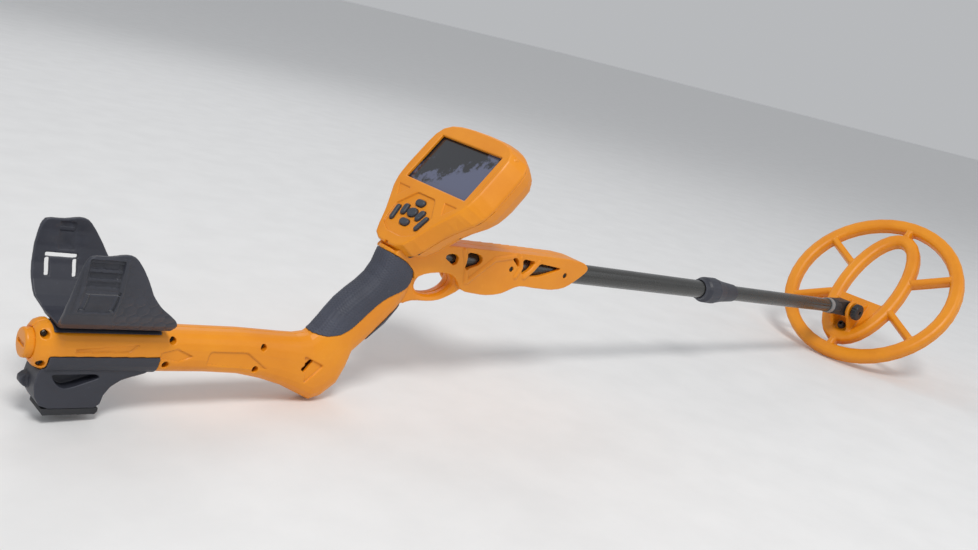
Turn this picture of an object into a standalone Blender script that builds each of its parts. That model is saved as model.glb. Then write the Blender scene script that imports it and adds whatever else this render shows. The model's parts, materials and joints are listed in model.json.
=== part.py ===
"""Metal detector with spoked coil: S-shaped body, control head, telescopic shaft.

Built in a design frame (X along the arm tube, Z up, millimetres), then the whole
object is pitched nose-down so the body heel and the coil rim stand on Z = 0.
"""
import math

import bmesh
import bpy
from mathutils import Matrix, Vector

MM = 0.001
GAP = 0.25                       # clearance between separate pieces
FLAT_ANGLE = 1.6                 # neighbouring faces closer than this are merged
COLL_NAME = "metal_detector"

# ---- driving dimensions (mm, degrees) --------------------------------------
SHAFT_Z0, SHAFT_SLOPE = 129.5, -0.01716      # shaft axis height at X = 0, slope
UPPER_R, UPPER_WALL = 11.0, 1.15             # upper tube radius, wall
UPPER_X = (-206.0, 250.0)
LOWER_R, LOWER_WALL = 9.5, 1.3               # lower tube radius, wall
LOWER_X = (140.0, 574.0)
COLLAR_X = (243.0, 310.0)                    # twist lock collar
HINGE_X = 619.0                              # coil hinge along the shaft
COIL_R = 132.0                               # coil outer radius
COIL_BAND = 19.5                             # width of ring and ellipse bands
COIL_PITCH = 56.1                            # coil forward axis above X
COIL_BACK, COIL_DROP = 64.7, 35.1            # hinge behind / above coil centre
ELL_A, ELL_B = 106.0, 54.0                   # inner loop outer semi-axes
SPOKE_ANGLE = 30.5                           # long spokes off the side axis
SPOKE_W = 11.0
HEAD_O = (-206.3, 217.7)                     # screen centre, X and Z
HEAD_TILT = 55.2                             # screen plane above X
SCREEN_W, SCREEN_H = 88.0, 53.5
SCREW_R, SCREW_HEAD_R = 1.5, 2.7
BODY_HALF = 17.0
STAND_FLAT, RAIL_FLAT = 34.0, 51.0           # lower / upper edge heights of band
REST_PITCH = 2.62                            # whole object nose-down, degrees

ORANGE = (0.80, 0.275, 0.012)
DARK = (0.045, 0.047, 0.055)

bpy.context.view_layer.update()
for old in list(bpy.data.objects):
    bpy.data.objects.remove(old, do_unlink=True)


def make_collection(name):
    col = bpy.data.collections.new(name)
    bpy.context.scene.collection.children.link(col)
    return col


PARTS = make_collection(COLL_NAME)
CUTTERS = make_collection("cutters")
MATS = {}


def material(name, color, rough=0.45, metal=0.0):
    if name not in MATS:
        mat = bpy.data.materials.new(name)
        mat.use_nodes = True
        bsdf = mat.node_tree.nodes["Principled BSDF"]
        bsdf.inputs["Base Color"].default_value = (*color, 1.0)
        bsdf.inputs["Roughness"].default_value = rough
        bsdf.inputs["Metallic"].default_value = metal
        MATS[name] = mat
    return MATS[name]


# ---- frames ----------------------------------------------------------------
def frame(origin, x_axis, z_axis):
    """Matrix with local X and Z along the given design-frame directions."""
    ax, az = Vector(x_axis).normalized(), Vector(z_axis).normalized()
    ay = az.cross(ax)
    rot = Matrix((ax, ay, az)).transposed().to_4x4()
    return Matrix.Translation(Vector(origin)) @ rot


def shaft_z(x):
    return SHAFT_Z0 + SHAFT_SLOPE * x


WORLD = Matrix.Identity(4)
_sl = Vector((1.0, 0.0, SHAFT_SLOPE)).normalized()
# shaft frame: local Z along the shaft, local X up, origin on the axis at X = 0
SHAFT = frame((0, 0, SHAFT_Z0), (-_sl.z, 0, _sl.x), _sl)
SHAFT_K = math.hypot(1.0, SHAFT_SLOPE)
_t = math.radians(HEAD_TILT)
# head frame: local X toward the user's left, Y up the screen, Z out of it
HEAD = frame((HEAD_O[0], 0, HEAD_O[1]), (0, -1, 0), (-math.sin(_t), 0, math.cos(_t)))
_q = math.radians(COIL_PITCH)
_f, _n = Vector((math.cos(_q), 0, math.sin(_q))), Vector((-math.sin(_q), 0, math.cos(_q)))
HINGE = Vector((HINGE_X, 0, shaft_z(HINGE_X)))
COIL = frame(HINGE + _f * COIL_BACK - _n * COIL_DROP, _f, _n)
CAP_X, CAP_Z = -562.0, 38.5
ENDCAP = frame((CAP_X, 0, CAP_Z), (0, 0, 1), (1, 0, 0))


# ---- mesh builders ---------------------------------------------------------
def obj_from(name, verts, faces, mtx=WORLD, col=None):
    mesh = bpy.data.meshes.new(name)
    mesh.from_pydata([(mtx @ Vector(v)) * MM for v in verts], [], faces)
    ob = bpy.data.objects.new(name, mesh)
    (col or CUTTERS).objects.link(ob)
    bm = bmesh.new()
    bm.from_mesh(mesh)
    bmesh.ops.remove_doubles(bm, verts=bm.verts, dist=1e-6)
    bmesh.ops.recalc_face_normals(bm, faces=bm.faces)
    bm.to_mesh(mesh)
    bm.free()
    return ob


def loft(name, loops, mtx=WORLD, closed=False):
    """Solid through equal-length loops; closed joins the last loop to the first."""
    n, m = len(loops[0]), len(loops)
    verts = [p for loop in loops for p in loop]
    faces = []
    for i in range(m if closed else m - 1):
        a, b = i * n, ((i + 1) % m) * n
        faces += [(a + j, a + (j + 1) % n, b + (j + 1) % n, b + j) for j in range(n)]
    if not closed:
        faces.append(tuple(range(n))[::-1])
        faces.append(tuple((m - 1) * n + j for j in range(n)))
    return obj_from(name, verts, faces, mtx)


def prism(name, pts, y0, y1, mtx=WORLD):
    """Extrude an XZ outline from y0 to y1."""
    return loft(name, [[(x, y0, z) for x, z in pts], [(x, y1, z) for x, z in pts]], mtx)


def slab(name, pts, z0, z1, mtx=WORLD):
    """Extrude an XY outline from z0 to z1."""
    return loft(name, [[(x, y, z0) for x, y in pts], [(x, y, z1) for x, y in pts]], mtx)


def box(name, cx, cy, cz, sx, sy, sz, mtx=WORLD):
    hx, hy, hz = sx / 2, sy / 2, sz / 2
    pts = [(cx - hx, cy - hy), (cx + hx, cy - hy), (cx + hx, cy + hy), (cx - hx, cy + hy)]
    return slab(name, pts, cz - hz, cz + hz, mtx)


def circle(r, n, cx=0.0, cy=0.0, ry=None):
    ry = r if ry is None else ry
    return [(cx + r * math.cos(2 * math.pi * i / n), cy + ry * math.sin(2 * math.pi * i / n))
            for i in range(n)]


def lathe(name, prof, mtx=WORLD, n=40, ring=False):
    """Revolve (radius, z) about local Z; ring profiles are closed loops."""
    verts, faces, m = [], [], len(prof)
    for i in range(n):
        a = 2 * math.pi * i / n
        verts += [(r * math.cos(a), r * math.sin(a), z) for r, z in prof]
    for i in range(n):
        a, b = i * m, ((i + 1) % n) * m
        for j in range(m if ring else m - 1):
            k = (j + 1) % m
            faces.append((a + j, b + j, b + k, a + k))
    if not ring:
        faces.append(tuple(i * m for i in range(n))[::-1])
        faces.append(tuple(i * m + m - 1 for i in range(n)))
    return obj_from(name, verts, faces, mtx)


def superellipse(n, p):
    out = []
    for i in range(n):
        a = 2 * math.pi * (i + 0.5) / n
        c, s = math.cos(a), math.sin(a)
        out.append((math.copysign(abs(c) ** (2 / p), c), math.copysign(abs(s) ** (2 / p), s)))
    return out


def rounded(pts, r, n=4):
    """Round the corners of an outline with radius-like trim r."""
    out, m = [], len(pts)
    for i in range(m):
        p, a, b = (Vector(pts[k % m]) for k in (i, i - 1, i + 1))
        ra = min(r, (a - p).length * 0.48)
        rb = min(r, (b - p).length * 0.48)
        pa, pb = p + (a - p).normalized() * ra, p + (b - p).normalized() * rb
        for k in range(n + 1):
            t = k / n
            q = pa * (1 - t) ** 2 + p * 2 * t * (1 - t) + pb * t * t
            out.append((q.x, q.y))
    return out


def grow(pts, d):
    """Offset an outline outward by d (inward when negative)."""
    m, out = len(pts), []
    area = sum(pts[i - 1][0] * pts[i][1] - pts[i][0] * pts[i - 1][1] for i in range(m))
    sign = 1.0 if area > 0 else -1.0
    for i in range(m):
        p, a, b = (Vector(pts[k % m]) for k in (i, i - 1, i + 1))
        e1, e2 = (p - a).normalized(), (b - p).normalized()
        n1, n2 = Vector((e1.y, -e1.x)) * sign, Vector((e2.y, -e2.x)) * sign
        v = (n1 + n2)
        v = v / max(v.length_squared / 2.0, 0.35)
        out.append((p.x + v.x * d, p.y + v.y * d))
    return out


def solid_volume(mesh):
    """Volume of a closed mesh, or zero when any edge is open."""
    bm = bmesh.new()
    bm.from_mesh(mesh)
    shut = all(len(e.link_faces) == 2 for e in bm.edges)
    vol = bm.calc_volume(signed=True) if shut and len(bm.faces) else 0.0
    bm.free()
    return vol


def boolean(ob, cutter, op="DIFFERENCE", keep=False):
    """Exact boolean; a cutter that meets edges head-on is nudged by microns."""
    floor = solid_volume(ob.data) * (0.9 if op == "UNION" else 0.001)
    for nudge in range(9):
        cutter.location = Vector((0.7, 0.4, 0.9)) * (0.004 * nudge * MM)
        mod = ob.modifiers.new("bool", "BOOLEAN")
        mod.operation, mod.solver, mod.object = op, "EXACT", cutter
        deps = bpy.context.evaluated_depsgraph_get()
        mesh = bpy.data.meshes.new_from_object(ob.evaluated_get(deps))
        ob.modifiers.clear()
        if solid_volume(mesh) > floor:
            break
    ob.data = mesh
    cutter.location = (0, 0, 0)
    if not keep:
        bpy.data.objects.remove(cutter, do_unlink=True)
    return ob


def cut(ob, *cutters):
    for c in cutters:
        boolean(ob, c)
    return ob


def join(ob, *others):
    for o in others:
        boolean(ob, o, "UNION")
    return ob


def soften(ob, width, segments=2, angle=35.0):
    mod = ob.modifiers.new("bevel", "BEVEL")
    mod.width, mod.segments = width * MM, segments
    mod.limit_method, mod.angle_limit = "ANGLE", math.radians(angle)
    mod.use_clamp_overlap = True
    deps = bpy.context.evaluated_depsgraph_get()
    mesh = bpy.data.meshes.new_from_object(ob.evaluated_get(deps))
    ob.modifiers.clear()
    ob.data = mesh
    return ob


def copy_of(ob, name):
    new = bpy.data.objects.new(name, ob.data.copy())
    CUTTERS.objects.link(new)
    return new


def drop_slivers(bm, least=12):
    """Remove specks of fewer than `least` vertices left over by cuts."""
    seen = set()
    for v in list(bm.verts):
        if v in seen:
            continue
        group, stack = {v}, [v]
        while stack:
            for e in stack.pop().link_edges:
                for w in e.verts:
                    if w not in group:
                        group.add(w)
                        stack.append(w)
        seen |= group
        if len(group) < min(least, len(bm.verts)):
            bmesh.ops.delete(bm, geom=list(group), context="VERTS")


FINAL = []


def part(ob, name, mat, origin=None):
    """Register a finished piece; origin is its joint point in design mm."""
    ob.name = name
    ob.data.name = name
    for c in list(ob.users_collection):
        c.objects.unlink(ob)
    PARTS.objects.link(ob)
    ob.data.materials.clear()
    ob.data.materials.append(mat)
    bm = bmesh.new()
    bm.from_mesh(ob.data)
    bmesh.ops.remove_doubles(bm, verts=bm.verts, dist=4e-6)
    bmesh.ops.dissolve_degenerate(bm, edges=bm.edges, dist=2e-6)
    bmesh.ops.dissolve_limit(bm, angle_limit=math.radians(FLAT_ANGLE), verts=bm.verts,
                             edges=bm.edges)
    drop_slivers(bm)
    bm.to_mesh(ob.data)
    bm.free()
    FINAL.append((ob, Vector(origin) if origin is not None else None))
    return ob


ORANGE_MAT = material("orange_shell", ORANGE, 0.42)
DARK_MAT = material("dark_plastic", DARK, 0.5)
RUBBER = material("grip_rubber", (0.062, 0.068, 0.085), 0.75)
STEEL = material("screw_steel", (0.25, 0.24, 0.23), 0.35, 1.0)

# ---- body: arm tube, handle, trigger guard, shaft holder --------------------
# ribs: back/top point, front/bottom point, half width
RIBS = [
    (-556.0, 51.0, -556.0, 26.0, 12.5), (-553.0, 55.0, -553.0, 22.0, 15.5),
    (-548.0, 56.6, -548.0, 20.2, 17.6), (-541.0, 56.6, -541.0, 20.2, 17.6),
    (-537.0, 54.6, -537.0, 18.2, 17.0), (-460.0, 54.6, -460.0, 18.2, 17.0),
    (-420.0, 54.2, -420.0, 17.8, 17.0), (-389.0, 53.6, -387.0, 16.0, 17.0),
    (-369.0, 52.6, -364.0, 11.5, 17.0), (-349.0, 51.6, -341.0, 4.8, 16.9),
    (-334.0, 51.2, -323.0, -3.0, 16.6), (-323.0, 53.0, -308.0, -9.8, 16.2),
    (-316.5, 59.0, -297.0, -6.5, 16.2), (-311.0, 67.0, -284.0, 5.0, 16.6),
    (-304.0, 77.0, -279.0, 20.0, 17.0), (-297.0, 86.0, -277.0, 36.0, 17.4),
    (-288.0, 95.0, -262.0, 52.0, 17.6), (-279.0, 103.0, -248.0, 66.0, 17.6),
    (-272.0, 111.0, -238.0, 81.0, 17.2), (-267.5, 121.0, -231.0, 96.0, 16.6),
    (-265.5, 132.0, -228.0, 112.0, 16.0), (-264.0, 139.0, -226.0, 127.0, 15.0),
]


def body_loft(name, inset=0.0, ribs=RIBS, n=22, p=2.7):
    loops = []
    for xt, zt, xb, zb, hw in ribs:
        c = Vector(((xt + xb) / 2, (zt + zb) / 2))
        d = Vector(((xt - xb) / 2, (zt - zb) / 2))
        d = d.normalized() * (d.length - inset)
        loops.append([(c.x + d.x * s, (hw - inset) * k, c.y + d.y * s)
                      for k, s in superellipse(n, p)])
    return loft(name, loops)


def extended(ribs):
    """Ribs with one extrapolated rib added beyond each end."""
    def beyond(a, b):
        return tuple(2 * p - q for p, q in zip(a, b))
    return [beyond(ribs[0], ribs[1]), *ribs, beyond(ribs[-1], ribs[-2])]


NECK = [(-262.0, 132.0), (-258.0, 141.0), (-200.0, 148.5), (-120.0, 149.5), (-32.0, 148.5),
        (-6.0, 146.0), (2.0, 141.0), (1.0, 136.0), (-14.0, 124.0), (-27.0, 116.0),
        (-45.0, 113.0), (-72.0, 113.5), (-94.0, 115.0), (-106.0, 110.0), (-116.0, 105.0),
        (-136.0, 102.0), (-158.0, 103.5), (-171.0, 105.0), (-182.0, 119.0), (-200.0, 122.0),
        (-222.0, 119.0), (-240.0, 108.0), (-252.0, 112.0)]
GUARD = [(-246.0, 78.0), (-236.0, 86.0), (-224.0, 91.0), (-205.0, 90.5), (-191.0, 92.0),
         (-178.0, 98.0), (-166.0, 105.0), (-160.0, 118.0), (-170.0, 132.0), (-240.0, 132.0),
         (-252.0, 112.0)]
HOLE_C, HOLE_A, HOLE_B, HOLE_TILT = (-201.0, 109.0), 22.5, 12.3, 8.0
NECK_HALF = 15.4


def smooth_prism(name, pts, half, radius, edge, n=2):
    return soften(prism(name, rounded(pts, radius, n), -half, half), edge, 2, 50)


def ellipse_prism(name, grow, half, n=26):
    t = math.radians(HOLE_TILT)
    pts = []
    for x, z in circle(HOLE_A + grow, n, ry=HOLE_B + grow):
        pts.append((HOLE_C[0] + x * math.cos(t) - z * math.sin(t),
                    HOLE_C[1] + x * math.sin(t) + z * math.cos(t)))
    return prism(name, pts, -half, half)


def flare(name, sign, half, n=26):
    """Funnel that rounds the finger hole edge toward one face."""
    t = math.radians(HOLE_TILT)
    loops = []
    for grow, y in ((0.02, half - 5.0), (1.7, half - 1.9), (6.0, half + 0.4)):
        loops.append([(HOLE_C[0] + x * math.cos(t) - z * math.sin(t), sign * y,
                       HOLE_C[1] + x * math.sin(t) + z * math.cos(t))
                      for x, z in circle(HOLE_A + grow, n, ry=HOLE_B + grow)])
    return loft(name, loops)


GUARD_HALF = 10.5
body = body_loft("body")
join(body, smooth_prism("guard", GUARD, GUARD_HALF, 8.0, 4.0),
     smooth_prism("neck", NECK, NECK_HALF, 7.0, 4.5))
cut(body, ellipse_prism("hole", 0.0, 30.0), flare("fa", 1, GUARD_HALF),
    flare("fb", -1, GUARD_HALF))

# one half shell, meeting its mirror image at the middle plane
left = body
cut(left, box("near", -280, -50 + GAP / 2, 60, 900, 100, 400))

# hollow arm tube and handle, left open at the parting plane
cut(left, body_loft("cavity", 5.2, RIBS[3:19], 12))
# bore for the shaft at the front
cut(left, lathe("shaft_bore", [(UPPER_R + GAP, UPPER_X[0] - 1.0), (UPPER_R + GAP, 40.0)], SHAFT, 28))

# case screws cross both shells at bosses; shaft screws only bite the holder wall
CASE_SCREWS = [(-551.0, 49.6), (-550.5, 27.6), (-453.5, 47.3), (-456.0, 27.6),
               (-371.5, 43.0), (-375.0, 23.5)]
SHAFT_SCREWS = [(-112.0, 131.4), (-31.5, 130.0)]
CASE_SEAT, SHAFT_SEAT = 9.0, 13.2            # head seat distance from the middle
BOSS_R = 3.6


def y_cyl(name, x, z, r, y0, y1, n=9):
    return prism(name, circle(r, n, x, z), y0, y1)


for sx, sz in CASE_SCREWS:
    boss = y_cyl("boss", sx, sz, BOSS_R, 0.4, 14.6)
    join(left, boolean(boss, body_loft("core", 0.7), "INTERSECT"))
# stepped bore for the battery lid and the cells at the rear
cut(left, lathe("lid_bore", [(11.6, -2.0), (11.6, 9.0)], ENDCAP, 24),
    lathe("cell_bore", [(7.4, 5.0), (7.4, 120.0)], ENDCAP, 12))

# seats for the cuff rail (top) and the stand (bottom) on the arm tube
SEAT_X = (-545.0, -462.0)
RAIL_T, STAND_T = 2.0, 3.0


def seat_ribs(x0, x1):
    return [(x0, 54.6, x0, 18.2, 17.0), (x1, 54.6, x1, 18.2, 17.0)]


def skin(name, x0, x1, z0, z1, inset, outset):
    """Arm tube skin between an inset and an outset surface, within a height band."""
    outer = body_loft(name, -outset, seat_ribs(x0, x1))
    keep = box("keep", (x0 + x1) / 2, 0, (z0 + z1) / 2, x1 - x0 + 9, 80, z1 - z0)
    boolean(outer, keep, "INTERSECT")
    return cut(outer, body_loft("core", inset, seat_ribs(x0 - 1, x1 + 1)))


cut(left, skin("rail_seat", SEAT_X[0], SEAT_X[1], RAIL_FLAT, 75, RAIL_T + GAP, 4),
    skin("stand_seat", SEAT_X[0] - 1.5, SEAT_X[1] + 0.5, -5, STAND_FLAT, STAND_T + GAP, 4))

# holder windows, lanyard hole, shallow side reliefs
WINDOWS = [[(-203, 137), (-197, 141), (-186, 140), (-184, 135), (-188, 129)],
           [(-175, 144), (-160, 143), (-153, 139), (-156, 133), (-174, 126)],
           [(-116, 144), (-106, 143), (-102, 133)],
           [(-99, 143), (-80, 141.5), (-86, 133), (-96, 126)],
           [(-73, 140), (-38, 137), (-70, 126.5), (-86, 125.5)]]
for w in WINDOWS:
    cut(left, prism("win", rounded(w, 2.2, 1), 6.0, 20.0))
RELIEFS = (([(-528, 40), (-480, 44), (-487, 37.5), (-528, 37)], 0.8),
           ([(-463, 33), (-461, 38), (-449, 41.5), (-434, 35), (-446, 30)], 0.8),
           ([(-421, 36), (-419, 39.5), (-386, 39), (-364, 24), (-400, 26), (-421, 28)], 0.9),
           ([(-329, 36), (-307, 27), (-323, 10)], 3.0))
for pts, depth in RELIEFS:
    cut(left, prism("relief", rounded(pts, 1.5, 1), 17.0 - depth, 22.0))
cut(left, prism("lanyard", rounded([(-331, 24), (-321, 33), (-318, 31), (-325, 20)], 2.0, 2),
                -25, 25))

# handle pads: dimpled side/back cover and two finger pads
PAD_SIDE = [(-330.0, 56.0), (-318.0, 54.0), (-303.0, 54.5), (-292.0, 60.0), (-282.0, 70.0),
            (-273.0, 82.0), (-262.0, 92.0), (-250.0, 98.5), (-240.0, 102.0), (-232.0, 108.0),
            (-231.0, 116.0), (-240.0, 125.5), (-252.0, 131.5), (-268.0, 136.5),
            (-290.0, 136.0), (-330.0, 90.0)]
PAD_FRONT_UP = [(-247.0, 79.0), (-236.0, 88.0), (-224.0, 89.0), (-224.0, 60.0),
                (-262.0, 44.0), (-266.5, 52.0), (-258.0, 66.0)]
PAD_FRONT_LOW = [(-270.0, 47.0), (-260.0, 40.0), (-262.0, 20.0), (-276.0, 22.0),
                 (-280.0, 33.0)]
PADS = (("grip_pad", rounded(PAD_SIDE, 5.0, 1), 1.8, 0.7),
        ("finger_pad_upper", rounded(PAD_FRONT_UP, 4.0, 2), 1.6, 0.9),
        ("finger_pad_lower", rounded(PAD_FRONT_LOW, 3.0, 2), 1.6, 0.5))
grip_ribs = [r for r in RIBS[9:]]
for name, outline, depth, proud in PADS:
    pad = body_loft(name, -proud, grip_ribs)
    boolean(pad, prism("zone", outline, -30, 30), "INTERSECT")
    cut(pad, body_loft("pad_in", depth - GAP, extended(grip_ribs)))
    pocket = body_loft("pocket", -3.0, grip_ribs)
    boolean(pocket, prism("zone2", grow(outline, GAP), -32, 32), "INTERSECT")
    cut(pocket, body_loft("pocket_in", depth, extended(grip_ribs)))
    cut(left, pocket)
    part(pad, name, RUBBER)


def mirrored(ob, name):
    """Mirror image of a solid across the middle plane."""
    new = copy_of(ob, name)
    new.data.transform(Matrix.Diagonal((1.0, -1.0, 1.0, 1.0)))
    new.data.flip_normals()
    return new


right = mirrored(left, "right")

# screw holes: heads on the user's right, threads in the left shell
for sx, sz in SHAFT_SCREWS:
    cut(right, y_cyl("cb", sx, sz, SCREW_HEAD_R + 0.2, -30.0, -SHAFT_SEAT),
        y_cyl("clear", sx, sz, SCREW_R + 0.2, -14.0, -8.0, 12))
for sx, sz in CASE_SCREWS:
    cut(right, y_cyl("cb", sx, sz, SCREW_HEAD_R + 0.3, -30.0, -CASE_SEAT),
        y_cyl("clear", sx, sz, SCREW_R + 0.3, -12.0, 4.0, 12))
    cut(left, y_cyl("pilot", sx, sz, SCREW_R + 0.25, -4.0, 9.0, 12))


def screw(name, mtx, shank, n=8):
    """Pan head at local z = 0 (head above, shank below) with a cross recess."""
    hr = SCREW_HEAD_R - 0.1
    ob = lathe(name, [(SCREW_R, -shank), (SCREW_R, 0.0), (hr, 0.0), (hr, 1.2), (hr - 0.8, 2.0)],
               mtx, n)
    cut(ob, box("slot", 0, 0, 2.0, 3.2, 0.8, 1.8, mtx), box("slot", 0, 0, 2.0, 0.8, 3.2, 1.8, mtx))
    return part(ob, name, STEEL)


for i, (sx, sz) in enumerate(CASE_SCREWS):
    screw("case_screw_%d" % (i + 1), frame((sx, -CASE_SEAT, sz), (1, 0, 0), (0, -1, 0)), 16.5)
for i, (sx, sz) in enumerate(SHAFT_SCREWS):
    screw("shaft_screw_%d" % (i + 1), frame((sx, -SHAFT_SEAT, sz), (1, 0, 0), (0, -1, 0)), 1.8)

# ---- battery lid, cells and contact spring ----------------------------------
lid = lathe("lid", [(7.0, 11.0), (7.0, 8.2), (11.3, 8.2), (11.3, 1.6), (10.7, 0.4), (9.0, 0.0)],
            ENDCAP, 32)
cut(lid, box("coin", 0, 0, 0.6, 3.0, 14.0, 2.0, ENDCAP))
part(lid, "battery_lid", ORANGE_MAT, (CAP_X, 0, CAP_Z))
for i, x0 in enumerate((15.0, 66.5)):
    prof = [(6.9, x0), (7.1, x0 + 0.6), (7.1, x0 + 48.8), (6.5, x0 + 49.4), (2.8, x0 + 49.4),
            (2.8, x0 + 50.8)]
    part(lathe("cell", prof, ENDCAP, 20), "battery_cell_%d" % (i + 1),
         material("cell_wrap", (0.06, 0.16, 0.10), 0.35))
plate = lathe("spring_plate", [(6.8, 11.3), (6.8, 12.2), (2.6, 12.4), (2.0, 14.7)], ENDCAP, 16)
part(plate, "battery_contact", material("spring_steel", (0.6, 0.6, 0.58), 0.3, 1.0))

part(right, "body_right", ORANGE_MAT)
part(left, "body_left", ORANGE_MAT)

# ---- cuff rail, arm cuff and stand ------------------------------------------
rail = skin("rail", SEAT_X[0] + GAP, SEAT_X[1] - GAP, RAIL_FLAT + GAP, 75, RAIL_T, 0.6)
part(soften(rail, 0.35, 1), "cuff_rail", DARK_MAT)

CUFF_HALF = [(0.0, 55.6), (14.0, 55.6), (20.0, 57.4), (29.0, 64.0), (36.5, 74.0), (42.0, 86.0),
             (45.5, 99.0), (47.2, 112.0), (47.2, 127.0)]
CUFF_WALL = 3.4
CUFF_SIDE = [(-543.0, 50.0), (-543.5, 58.0), (-549.0, 64.0), (-550.5, 80.0), (-549.5, 100.0), (-547.5, 113.0),
             (-544.5, 120.8), (-530.0, 121.0), (-519.0, 123.6), (-512.0, 122.4), (-505.5, 115.0),
             (-498.5, 105.0), (-491.5, 93.0), (-482.0, 83.0), (-471.0, 75.5), (-462.5, 69.0),
             (-459.0, 62.0), (-462.0, 50.0)]
outer = CUFF_HALF[::-1] + [(-y, z) for y, z in CUFF_HALF[1:]]
inner = []
for i, (y, z) in enumerate(CUFF_HALF):
    a = Vector(CUFF_HALF[max(i - 1, 0)])
    b = Vector(CUFF_HALF[min(i + 1, len(CUFF_HALF) - 1)])
    t = (b - a).normalized()
    inner.append((y - t.y * CUFF_WALL, z + t.x * CUFF_WALL))
inner[0] = (0.0, inner[0][1])
section = outer + [(-y, z) for y, z in inner[:0:-1]] + inner
cuff = loft("cuff", [[(x, y, z) for y, z in section] for x in (-556.0, -452.0)])
boolean(cuff, prism("side", rounded(CUFF_SIDE, 4.0, 2), -60, 60), "INTERSECT")
cuff = soften(cuff, 0.9, 1, 50)
for s in (-1, 1):
    # strap ladder: pocket outside with three blind recesses, bars left between
    cut(cuff, box("pocket", -531.5, s * 49.6, 107.5, 25.0, 8.0, 22.0))
    for z in (99.5, 106.5, 113.5):
        cut(cuff, box("slot", -531.5, s * 48.8, z, 20.0, 8.0, 4.2))
    # tongue with a slot each side and one above
    for x in (-539.5, -518.5):
        cut(cuff, box("slit", x, s * 42.0, 84.5, 3.6, 16.0, 13.0))
    cut(cuff, box("slit", -529.0, s * 44.0, 93.2, 24.6, 16.0, 3.2))
part(cuff, "arm_cuff", DARK_MAT, (-505.0, 0, 55.6))

LEG = [(-545.0, 29.7), (-463.5, 29.7), (-463.5, 25.5), (-465.5, 20.8), (-473.5, 17.4),
       (-483.3, 15.3), (-491.4, 11.3), (-497.5, 4.7), (-500.0, -2.4), (-500.0, -9.0),
       (-542.5, -9.0), (-548.2, -3.4), (-551.2, 4.7), (-551.7, 14.8), (-548.2, 24.0)]
LEG_OPEN = [(-541.0, 17.9), (-536.0, 10.3), (-530.0, 6.7), (-522.0, 8.7), (-503.6, 15.8),
            (-507.6, 18.4)]
LEG_HALF = 13.0
LEG_WEB = 3.0                                   # half thickness left between the recesses
LUG = [(-557.5, 8.0), (-556.0, 12.0), (-550.0, 14.5), (-540.0, 16.0), (-540.0, 0.0),
       (-550.0, 1.5), (-555.5, 4.0)]
stand = skin("stand", SEAT_X[0] - 1.5 + GAP, SEAT_X[1] + 0.5 - GAP, 0, STAND_FLAT - GAP,
             STAND_T, 0.8)
leg = soften(prism("leg", rounded(LEG, 4.0, 1), -LEG_HALF, LEG_HALF), 0.8, 1, 50)
for s in (-1, 1):
    cut(leg, prism("open", rounded(LEG_OPEN, 3.0, 2), s * LEG_WEB, s * 30.0))
cut(leg, box("sight", -532.0, 0, 17.0, 16.0, 40.0, 1.6))
join(leg, soften(prism("lug", rounded(LUG, 2.5, 1), 1.5, 9.5), 0.8, 1, 50))
cut(leg, body_loft("core", STAND_T - 0.6, seat_ribs(-558, -456)),
    body_loft("bulb", -GAP, [*RIBS[:3], (-546.25, *RIBS[2][1:2], -546.25, *RIBS[2][3:])]))
join(stand, leg)
cut(stand, box("rear_clear", -552.0, 0, 45.0, 12.0, 46.0, 40.0))
part(stand, "stand", DARK_MAT)
SOLE = [(-541.0, -14.5), (-502.5, -14.5), (-500.6, -12.5), (-500.6, -9.25), (-542.8, -9.25),
        (-542.8, -12.5)]
part(prism("pad", SOLE, -LEG_HALF + 0.6, LEG_HALF - 0.6), "foot_pad",
     material("foot_rubber", (0.07, 0.072, 0.078), 0.8))

# ---- control head ------------------------------------------------------------
MID = [(0, 51), (20, 50.5), (42, 46.5), (56, 40), (63, 31), (65, 20), (65, -22), (61, -35),
       (51, -46), (41, -57), (32.5, -73), (27, -86), (19, -93.5), (0, -95)]
FRONT = [(0, 44), (18, 43.6), (36, 42), (47, 38), (53, 31), (55, 20), (55, -20), (52, -36),
         (45, -48), (37, -60), (29.5, -74), (24.5, -86), (18, -94), (0, -95.5)]
# rear layers: offset, width scale, top, bottom
REAR = [(-13.5, 1.0, 51.0, -94.5), (-24.0, 0.975, 49.5, -86.5), (-33.0, 0.92, 47.0, -72.0),
        (-39.0, 0.85, 44.0, -52.0), (-42.0, 0.76, 39.0, -38.0)]
SEAM = -14.0


def full(half):
    return half + [(-x, y) for x, y in half[-2:0:-1]]


def head_layers(inset):
    layers = [(4.0 - inset, grow(full(FRONT), -1.2 - inset)), (3.0 - inset, grow(full(FRONT), -inset)),
              (-11.0, grow(full(MID), -inset))]
    for off, k, top, bot in REAR:
        pts = [(x * k, top + (y - 51.0) * (top - bot) / 146.0) for x, y in full(MID)]
        layers.append((min(off + inset, off if off > -24 else off + inset), grow(pts, -inset)))
    return layers


def head_solid(name, inset=0.0, trim=5.0):
    return loft(name, [[(x, y, z) for x, y in (rounded(pts, trim, 1) if trim else pts)]
                       for z, pts in head_layers(inset)], HEAD)


HEAD_SCREWS = [(53.5, 32.0, -30.0), (-53.5, 32.0, -30.0), (37.0, -48.0, -26.0),
               (-37.0, -48.0, -26.0)]
BOSS_TOP = 1.6


def hcyl(name, x, y, r, z0, z1, n=10, ry=None):
    return slab(name, circle(r, n, x, y, ry), z0, z1, HEAD)


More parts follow.
